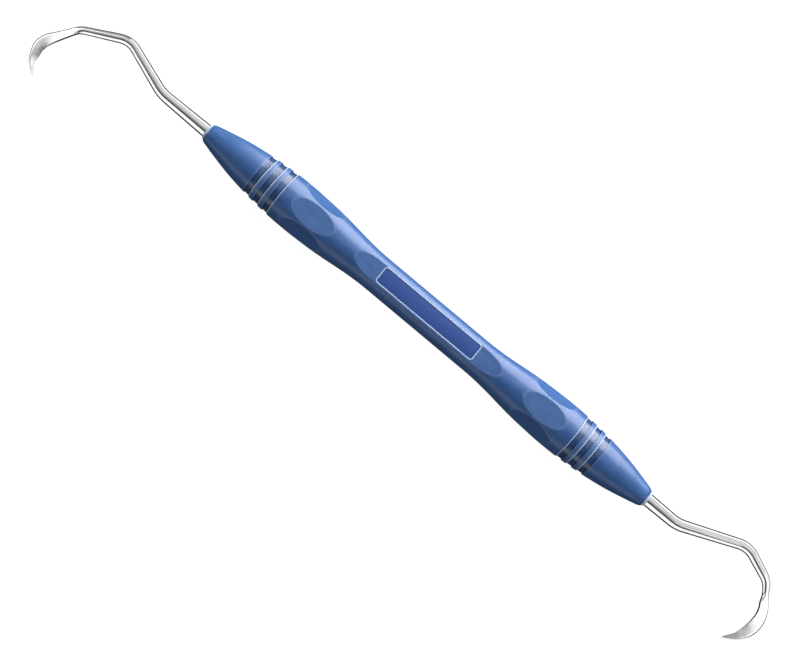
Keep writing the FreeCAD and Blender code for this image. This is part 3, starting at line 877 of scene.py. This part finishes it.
def moulded_resin(handle):
    """Satin blue resin with faint flow mottling, pale lips, mouths and rims (edge wear with painted
    highlights), painted shade in the grooves and a fine grain.
    """
    finish = Finish("moulded_resin")
    lengthways = finish.stretched(finish.place, (0.35, 1.0, 1.0))
    flow = finish.noise(lengthways, scale=900.0, detail=4.0, rough=0.55)
    body = finish.blend(finish.remap(flow, 0.0, 1.0), handle.resin_deep, handle.resin)
    # pale colour on the edges, edge wear with painted highlights, broken up by noise
    wear_and_highlight_breakup = finish.remap(finish.noise(finish.place, scale=3000.0), 0.75, 1.0)
    wear_and_highlight = finish.add("ShaderNodeMath", operation="MULTIPLY")
    finish.link(finish.attribute("wear_and_highlight"), wear_and_highlight.inputs[0])
    finish.link(wear_and_highlight_breakup, wear_and_highlight.inputs[1])
    rubbed_and_highlit = finish.blend(wear_and_highlight.outputs[0], body, handle.rubbed_and_highlit)
    # painted shade along the grooves, darkest on their walls; the same mask raises their coat and lowers
    # their roughness
    groove_shade_and_gloss = finish.attribute("groove_shade_and_gloss")
    finish.varied(Base_Color=finish.blend(groove_shade_and_gloss, rubbed_and_highlit, handle.groove))
    patches = finish.noise(finish.place, scale=2600.0, detail=5.0, rough=0.6)
    skin = finish.remap(patches, handle.roughness - 0.05, handle.roughness + 0.06)
    finish.varied(Roughness=finish.blend_numbers(groove_shade_and_gloss, skin, handle.groove_roughness))
    finish.varied(Coat_Weight=finish.remap(groove_shade_and_gloss, 0.15, 0.8, start=0.0, stop=1.0))
    tooth = finish.noise(finish.place, scale=9000.0, detail=2.0)
    grain = finish.bump(tooth, strength=0.10, distance=0.02 * MM)
    ripple = finish.noise(finish.stretched(finish.place, (0.5, 1.0, 1.0)), scale=420.0, detail=2.0)
    finish.varied(Normal=finish.bump(ripple, strength=0.10, distance=0.10 * MM, below=grain))
    finish.uniform(IOR=1.50, Coat_Roughness=0.22)
    return finish.material


def plate_resin(plate):
    """Violet-blue satin plate with a faint printed tooth."""
    finish = Finish("plate_resin")
    cloud = finish.noise(finish.place, scale=1400.0)
    finish.varied(Base_Color=finish.mottled(cloud, plate.plate, darkest=0.93))
    finish.varied(Roughness=finish.remap(finish.noise(finish.place, scale=5000.0), 0.42, 0.54))
    tooth = finish.noise(finish.place, scale=14000.0, detail=2.0)
    finish.varied(Normal=finish.bump(tooth, strength=0.08, distance=0.01 * MM))
    finish.uniform(IOR=1.46)
    return finish.material


def border_resin(plate):
    """Pale glossy frame."""
    finish = Finish("border_resin")
    cloud = finish.noise(finish.place, scale=1100.0, detail=2.0)
    finish.varied(Base_Color=finish.mottled(cloud, plate.border, darkest=0.90))
    finish.varied(Roughness=finish.remap(finish.noise(finish.place, scale=4000.0), 0.22, 0.32))
    finish.uniform(IOR=1.50)
    return finish.material


def seal_silicone(steel):
    """Pale soft silicone."""
    finish = Finish("seal_silicone")
    cloud = finish.noise(finish.place, scale=2500.0)
    finish.varied(Base_Color=finish.mottled(cloud, steel.seal, darkest=0.88))
    finish.varied(Roughness=finish.remap(finish.noise(finish.place, scale=7000.0), 0.30, 0.42))
    finish.uniform(IOR=1.41)
    return finish.material


def polished_steel(steel):
    """Polished stainless steel with faint lines along the neck and a ground blade."""
    finish = Finish("polished_steel")
    sweep = finish.add("ShaderNodeUVMap", uv_map="sweep").outputs["UV"]
    ground = finish.attribute("ground")
    along = finish.noise(finish.stretched(sweep, (0.25, 70.0, 1.0)), scale=1.0, detail=4.0, rough=0.6)
    across = finish.noise(finish.stretched(sweep, (22.0, 3.0, 1.0)), scale=1.0, rough=0.6)
    cloud = finish.noise(finish.place, scale=700.0)
    neck = finish.mottled(cloud, steel.steel, darkest=0.90)
    finish.varied(Base_Color=finish.blend(ground, neck, steel.blade))
    polish = finish.remap(along, steel.neck_roughness - 0.03, steel.neck_roughness + 0.05)
    grind = finish.remap(across, steel.blade_roughness - 0.05, steel.blade_roughness + 0.08)
    finish.varied(Roughness=finish.blend_numbers(ground, polish, grind))
    lines = finish.bump(along, strength=0.10, distance=0.010 * MM)
    finish.varied(Normal=finish.bump(across, strength=0.06, distance=0.010 * MM, below=lines))
    finish.uniform(Metallic=1.0)
    return finish.material


def turned_steel(steel):
    """Machined steel with fine rings round the handle's axis."""
    finish = Finish("turned_steel")
    lathe = finish.stretched(finish.place, (1.0, 0.02, 0.02))
    rings = finish.noise(lathe, scale=12000.0, detail=2.0)
    finish.varied(Base_Color=finish.mottled(rings, steel.turned, darkest=0.82))
    finish.varied(Roughness=finish.remap(rings, 0.26, 0.40))
    finish.varied(Normal=finish.bump(rings, strength=0.15, distance=0.01 * MM))
    finish.uniform(Metallic=1.0)
    return finish.material


def pale_floor():
    """Pale studio floor that stays light in the part's own shadow."""
    finish = Finish("pale_floor")
    cloud = finish.noise(finish.place, scale=3.0, detail=2.0)
    dark, pale = ([shade] * 3 for shade in FLOOR_SHADES)
    finish.varied(Base_Color=finish.blend(finish.remap(cloud, 0.0, 1.0), dark, pale))
    finish.uniform(Roughness=0.9, Emission_Color=(1.0, 1.0, 1.0, 1.0),
                   Emission_Strength=FLOOR_GLOW)
    return finish.material


# ---- operators ----
class SCALER_OT_handle(bpy.types.Operator):
    """Mould the handle, with its grooves, scoops, plate flat and inner void"""

    bl_idname = "scaler.handle"
    bl_label = "Handle"

    def execute(self, context):
        handle, plate = context.scene.scaler_handle, context.scene.scaler_plate
        bm = build_handle(handle, plate)
        finish_piece("handle_moulding", bm, "grip_body", moulded_resin(handle),
                     sharp=38)
        return {"FINISHED"}


class SCALER_OT_plate(bpy.types.Operator):
    """Fit the name plate and its pale frame into the handle's pocket"""

    bl_idname = "scaler.plate"
    bl_label = "Name plate"

    def execute(self, context):
        plate = context.scene.scaler_plate
        border, face = build_frame(plate), build_plate(plate)
        finish_piece("plate_border", border, "plate_frame", border_resin(plate), sharp=40)
        finish_piece("plate_face", face, "name_plate", plate_resin(plate), sharp=40)
        return {"FINISHED"}


class SCALER_OT_seals(bpy.types.Operator):
    """Seat a soft ring in each mouth of the handle"""

    bl_idname = "scaler.seals"
    bl_label = "Seal rings"

    def execute(self, context):
        silicone = seal_silicone(context.scene.scaler_steel)
        for side, name in ((-1, "left"), (1, "right")):
            finish_piece(name + "_seal", build_seal(side), name + "_seal_ring", silicone,
                         sharp=40)
        return {"FINISHED"}


class SCALER_OT_working_ends(bpy.types.Operator):
    """Forge both working ends: knurled tang, bent neck and ground blade"""

    bl_idname = "scaler.working_ends"
    bl_label = "Working ends"

    def execute(self, context):
        steel = polished_steel(context.scene.scaler_steel)
        for end, name in ((LONG_END, "left_scaler_tip"), (SHORT_END, "right_scaler_tip")):
            finish_piece(name, build_working_end(end), end["node"], steel,
                         sharp=24)
        return {"FINISHED"}


class SCALER_OT_core(bpy.types.Operator):
    """Give the tube and bushes inside the handle their turned finish"""

    bl_idname = "scaler.core"
    bl_label = "Core"

    def execute(self, context):
        turned = turned_steel(context.scene.scaler_steel)
        for node in ("core_tube", "left_tang_bush", "right_tang_bush"):
            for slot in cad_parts[node].material_slots:
                slot.material = turned
        return {"FINISHED"}


# ---- stage ----
def add_panel(name, radiance, size, place, only):
    """A soft rectangular light that shines down its own -Z axis, on one collection."""
    lamp = bpy.data.lights.new(name, "AREA")
    lamp.shape = "RECTANGLE"
    lamp.size, lamp.size_y = size
    lamp.energy = radiance * math.pi * size[0] * size[1]
    panel = bpy.data.objects.new(name, lamp)
    panel.matrix_world = place
    panel.visible_camera = False
    panel.light_linking.receiver_collection = only
    bpy.context.scene.collection.objects.link(panel)


def add_side_panel(name, radiance, angles, along, only):
    """A panel beside the handle, between two angles from straight up towards +Y."""
    low, high = (math.radians(angle) for angle in angles)
    width = 2 * PANEL_REACH * math.tan((high - low) / 2)
    turn = Matrix.Rotation(-(low + high) / 2, 4, "X")
    place = turn @ Matrix.Translation(((along[0] + along[1]) / 2, 0, PANEL_REACH))
    add_panel(name, radiance, (along[1] - along[0], width), place, only)


def add_end_panel(name, radiance, lean, size, only):
    """A panel past one end of the instrument, at a lean from straight up towards +X."""
    turn = Matrix.Rotation(math.radians(lean), 4, "Y")
    add_panel(name, radiance, size, turn @ Matrix.Translation((0, 0, END_PANEL_REACH)), only)


def group(name, pieces):
    """A collection that holds some of the pieces, for lights that shine on them alone."""
    collection = bpy.data.collections.new(name)
    for piece in pieces:
        collection.objects.link(bpy.data.objects[piece])
    return collection


def add_camera(studio):
    """The camera over the plate, leaning a little and rolled so that the handle runs aslant."""
    back = Vector((0, -math.sin(studio.tilt), math.cos(studio.tilt)))
    along = Vector((1, 0, 0))
    across = back.cross(along)
    right = along * math.cos(studio.roll) + across * math.sin(studio.roll)
    up = -along * math.sin(studio.roll) + across * math.cos(studio.roll)
    data = bpy.data.cameras.new("camera")
    data.sensor_width = 36.0
    data.lens = data.sensor_width * studio.distance / studio.width
    camera = bpy.data.objects.new("camera", data)
    turn = Matrix((right, up, back)).transposed().to_4x4()
    camera.matrix_world = Matrix.Translation(CAMERA_AIM + back * studio.distance) @ turn
    bpy.context.scene.collection.objects.link(camera)
    bpy.context.scene.camera = camera


def add_floor():
    """A pale round floor just under the handle's bulges, that curves up far behind the model."""
    bm = bmesh.new()
    verts = [bm.verts.new((x, 0.0, z)) for x, z in FLOOR_OUTLINE]
    edges = [bm.edges.new(pair) for pair in zip(verts, verts[1:])]
    bmesh.ops.spin(bm, geom=verts + edges, cent=(0, 0, 0), axis=(0, 0, 1), angle=2 * math.pi, steps=64,
                   use_merge=True, use_duplicate=False)
    tidy(bm)
    bmesh.ops.translate(bm, verts=bm.verts, vec=(0, 0, CAD_BOX[0].z))
    if bm.faces[0].normal.z < 0:
        bmesh.ops.reverse_faces(bm, faces=bm.faces)
    floor = smooth_object("floor", bm, pale_floor())
    floor.visible_glossy = False
    floor.visible_diffuse = False
    floor.visible_shadow = False


class SCALER_OT_stage(bpy.types.Operator):
    """Set up the floor, the soft lights and the camera"""

    bl_idname = "scaler.stage"
    bl_label = "Stage"

    def execute(self, context):
        studio = context.scene.scaler_studio
        add_floor()
        steel = group("steel", ("left_scaler_tip", "right_scaler_tip"))
        resin = group("resin", ("handle_moulding",))
        rest = group("rest", ("handle_moulding", "plate_border", "plate_face", "left_seal", "right_seal",
                              "floor"))
        for name, angles, along in HANDLE_PANELS:
            add_side_panel(name + "_panel", getattr(studio, name), angles, along, rest)
        for index, (angles, along, share) in enumerate(STEEL_PANELS):
            add_side_panel(f"steel_panel_{index + 1}", share * studio.steel, angles, along, steel)
        for side, name in ((-1, "left"), (1, "right")):
            add_end_panel(name + "_end_panel", studio.ends, side * END_PANEL_LEAN, END_PANEL_SIZE, resin)
            tip = group(name + "_tip", (name + "_scaler_tip",))
            for index, (lean, size, share) in enumerate(TIP_PANELS[name]):
                add_end_panel(f"{name}_tip_panel_{index + 1}", share * studio.steel, side * lean,
                              size, tip)
        world = bpy.data.worlds.new("room")
        world.use_nodes = True
        background = world.node_tree.nodes["Background"]
        background.inputs["Color"].default_value = ROOM_COLOUR
        background.inputs["Strength"].default_value = studio.world
        context.scene.world = world
        context.scene.view_settings.view_transform = "Standard"
        add_camera(studio)
        return {"FINISHED"}


class SCALER_PT_panel(bpy.types.Panel):
    """Lists the scaler's operators and settings in the sidebar"""

    bl_label = "Hand scaler"
    bl_idname = "SCALER_PT_panel"
    bl_space_type = "VIEW_3D"
    bl_region_type = "UI"
    bl_category = "Scaler"

    def draw(self, context):
        for operator in OPERATORS:
            self.layout.operator(operator.bl_idname)
        for place, kind in SETTINGS.items():
            box = self.layout.box()
            for name in kind.__annotations__:
                box.prop(getattr(context.scene, place), name)


SETTINGS = {
    "scaler_handle": HandleSettings,
    "scaler_plate": PlateSettings,
    "scaler_steel": SteelSettings,
    "scaler_studio": StudioSettings,
}
OPERATORS = (SCALER_OT_handle, SCALER_OT_plate, SCALER_OT_seals, SCALER_OT_working_ends, SCALER_OT_core,
             SCALER_OT_stage)


def register():
    """Adds the settings, operators and panel."""
    for kind in (*SETTINGS.values(), *OPERATORS, SCALER_PT_panel):
        bpy.utils.register_class(kind)
    for name, kind in SETTINGS.items():
        setattr(bpy.types.Scene, name, PointerProperty(type=kind))


def unregister():
    """Takes them out again."""
    for name in SETTINGS:
        delattr(bpy.types.Scene, name)
    for kind in reversed((*SETTINGS.values(), *OPERATORS, SCALER_PT_panel)):
        bpy.utils.unregister_class(kind)


def main():
    """Builds every piece."""
    register()
    bpy.ops.scaler.handle()
    bpy.ops.scaler.plate()
    bpy.ops.scaler.seals()
    bpy.ops.scaler.working_ends()
    bpy.ops.scaler.core()
    bpy.ops.scaler.stage()


if __name__ == "__main__":
    main()
